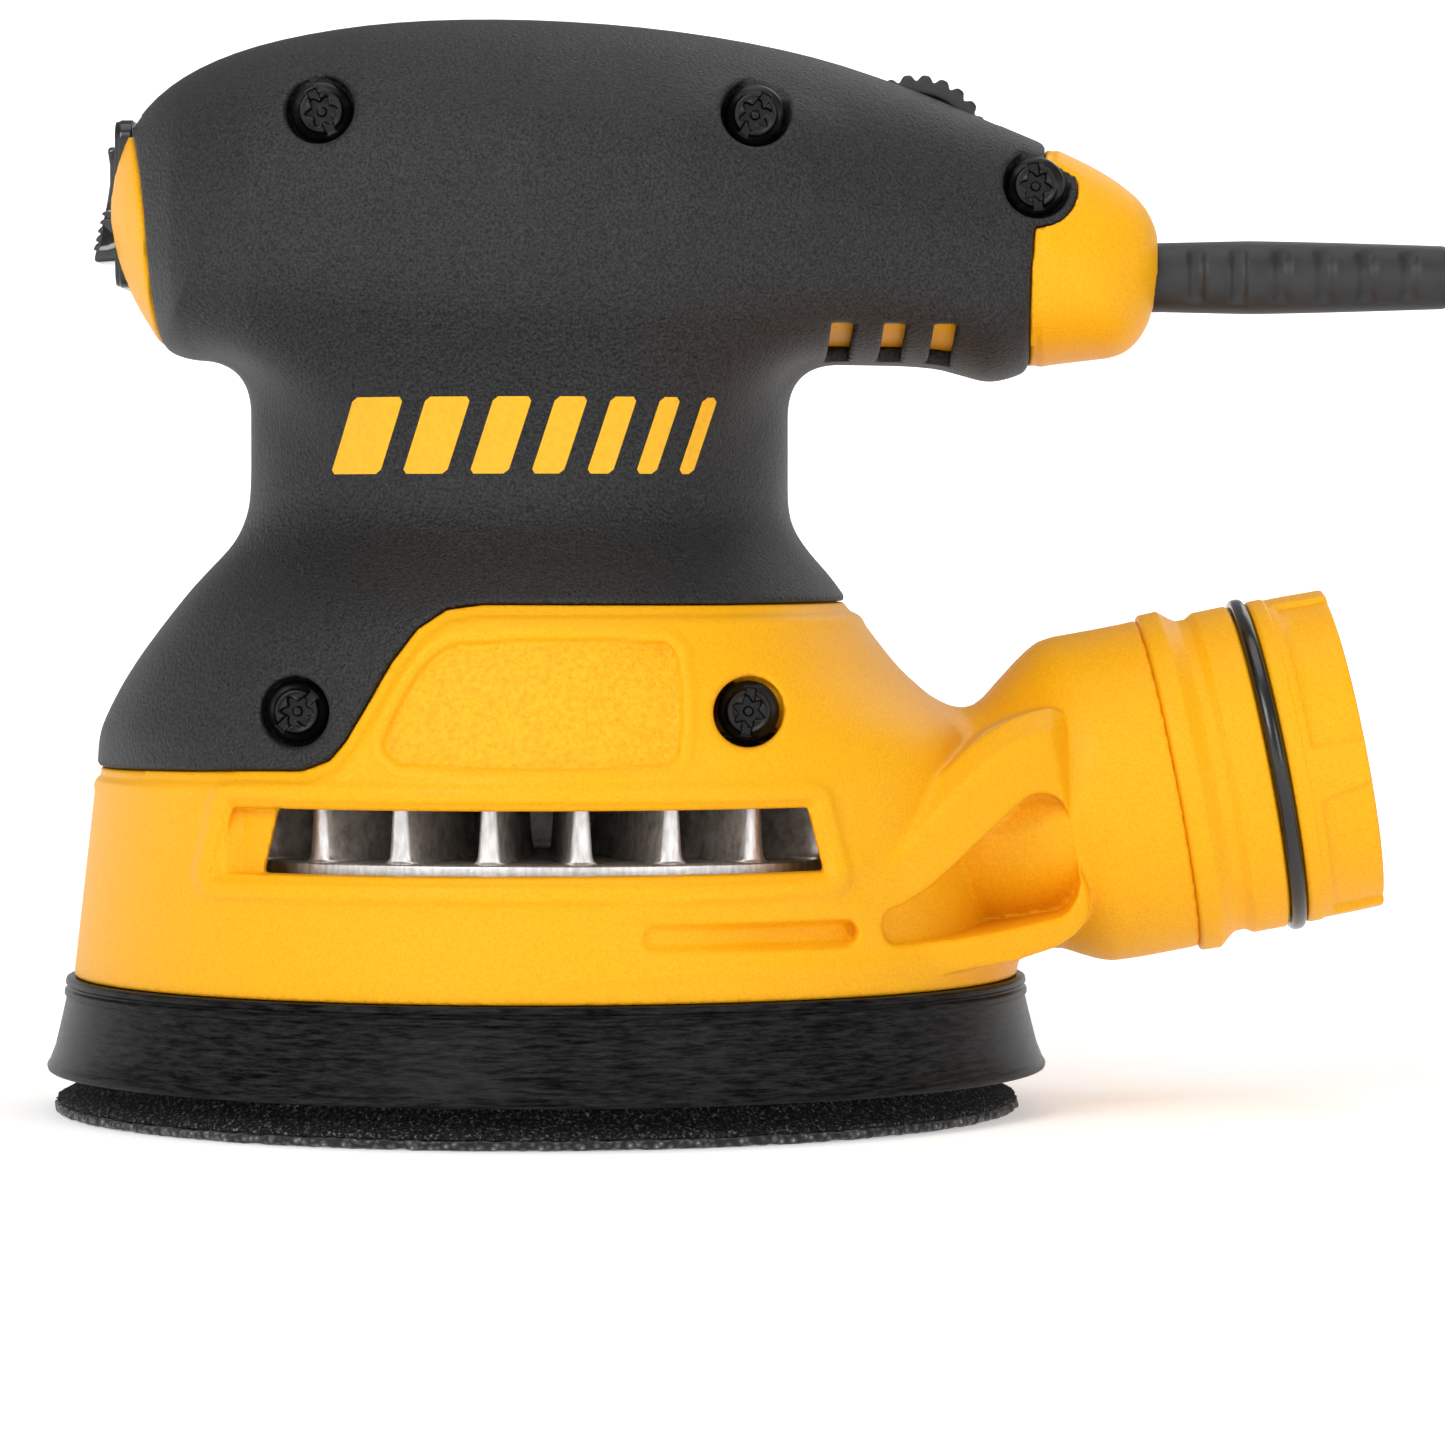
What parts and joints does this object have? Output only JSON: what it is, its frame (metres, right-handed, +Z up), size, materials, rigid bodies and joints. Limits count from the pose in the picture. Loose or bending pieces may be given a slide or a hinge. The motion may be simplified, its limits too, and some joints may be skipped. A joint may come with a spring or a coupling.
{
  "type": "random orbit sander",
  "caption": "Corded palm sander: round hook-faced pad on an eccentric bearing under a motor housing with a soft grip, fan window, dust outlet, rocker switch and speed dial.",
  "frame": {"origin": "where the motor axis meets the pad's sanding face", "axes": "+Z up along the motor axis, +X to the rear, where the cord and the dust outlet leave, -Y to the side with the screw heads"},
  "size_m": [0.3334, 0.1531, 0.141],
  "materials": {
    "yellow_plastic": "fine-grained satin moulding",
    "grip_rubber": "fine pebble grain, matt",
    "skirt_rubber": "satin with faint moulding streaks",
    "seal_rubber": "smooth, slightly glossy",
    "cord_rubber": "smooth matt",
    "pad_foam": "open-cell foam skin",
    "hook_fabric": "short hook pile",
    "tie_fabric": "woven hook-and-loop strap",
    "black_plastic": "moulded, satin",
    "rocker_plastic": "polished moulding",
    "dial_plastic": "satin, ribbed rim",
    "black_steel": "black oxide",
    "bearing_steel": "ground",
    "lamination_steel": "stamped sheets, oiled",
    "cast_aluminium": "die cast, lightly tumbled",
    "enamelled_copper": "enamelled wire under varnish",
    "copper": "turned copper bars",
    "brass": "stamped brass",
    "graphite": "pressed carbon",
    "circuit_board": "solder resist"
  },
  "bodies": {
    "sander_body": {"housing_left": "yellow_plastic", "housing_right": "yellow_plastic", "grip_left": "grip_rubber", "grip_right": "grip_rubber", "housing_screws": "black_steel", "dust_outlet": "yellow_plastic", "outlet_o_ring": "seal_rubber", "dust_skirt": "skirt_rubber", "bearing_flange": "cast_aluminium", "upper_bearing_sleeve": "seal_rubber", "stator_core": "lamination_steel", "stator_windings": "enamelled_copper", "upper_bearing_outer": "bearing_steel", "lower_bearing_outer": "bearing_steel", "brush_holders": "brass", "carbon_brushes": "graphite", "brush_springs": "bearing_steel", "switch_body": "black_plastic", "switch_boot": "seal_rubber", "speed_module": "circuit_board", "cord_boot": "cord_rubber", "cord_clamp": "black_plastic", "clamp_screws": "bearing_steel", "power_cord": "cord_rubber", "cord_coil": "cord_rubber", "coil_tie": "tie_fabric", "plug_lead": "cord_rubber", "plug_body": "cord_rubber", "plug_blades": "brass"},
    "rotor": {"armature_core": "lamination_steel", "armature_windings": "enamelled_copper", "commutator": "copper", "motor_shaft": "bearing_steel", "fan": "cast_aluminium", "counterweight": "lamination_steel", "upper_bearing_inner": "bearing_steel", "lower_bearing_inner": "bearing_steel", "pad_bearing_outer": "bearing_steel", "pad_snap_ring": "black_steel"},
    "pad": {"pad_bearing_inner": "bearing_steel", "pad_hub": "bearing_steel", "pad_screws": "bearing_steel", "pad_backing": "black_plastic", "pad_foam": "pad_foam", "pad_hook_face": "hook_fabric"},
    "upper_ball_set": {"upper_bearing_balls": "bearing_steel"},
    "lower_ball_set": {"lower_bearing_balls": "bearing_steel"},
    "pad_ball_set": {"pad_bearing_balls": "bearing_steel"},
    "rocker": {"switch_rocker": "rocker_plastic"},
    "dial": {"speed_dial": "dial_plastic"}
  },
  "joints": [
    {"name": "rotor_spin", "type": "hinge", "parent": "sander_body", "child": "rotor", "pos_m": [0, 0, 0.05], "axis": [0, 0, 1], "continuous": true},
    {"name": "pad_spin", "type": "hinge", "parent": "rotor", "child": "pad", "pos_m": [-0.0012, 0, 0.025], "axis": [0, 0, 1], "continuous": true},
    {"name": "upper_balls_spin", "type": "hinge", "parent": "sander_body", "child": "upper_ball_set", "pos_m": [0, 0, 0.1175], "axis": [0, 0, 1], "continuous": true},
    {"name": "lower_balls_spin", "type": "hinge", "parent": "sander_body", "child": "lower_ball_set", "pos_m": [0, 0, 0.0522], "axis": [0, 0, 1], "continuous": true},
    {"name": "pad_balls_spin", "type": "hinge", "parent": "rotor", "child": "pad_ball_set", "pos_m": [-0.0012, 0, 0.0252], "axis": [0, 0, 1], "continuous": true},
    {"name": "switch_rock", "type": "hinge", "parent": "sander_body", "child": "rocker", "pos_m": [-0.051, 0, 0.117], "axis": [0, -1, 0], "range_deg": [0, 14]},
    {"name": "dial_turn", "type": "hinge", "parent": "sander_body", "child": "dial", "pos_m": [0.048, 0, 0.1244], "axis": [0, 1, 0], "range_deg": [-135, 135]}
  ],
  "couplings": [
    {"joint": "upper_balls_spin", "follows": "rotor_spin", "ratio": 0.3914},
    {"joint": "lower_balls_spin", "follows": "rotor_spin", "ratio": 0.3917},
    {"joint": "pad_balls_spin", "follows": "pad_spin", "ratio": 0.4116}
  ]
}
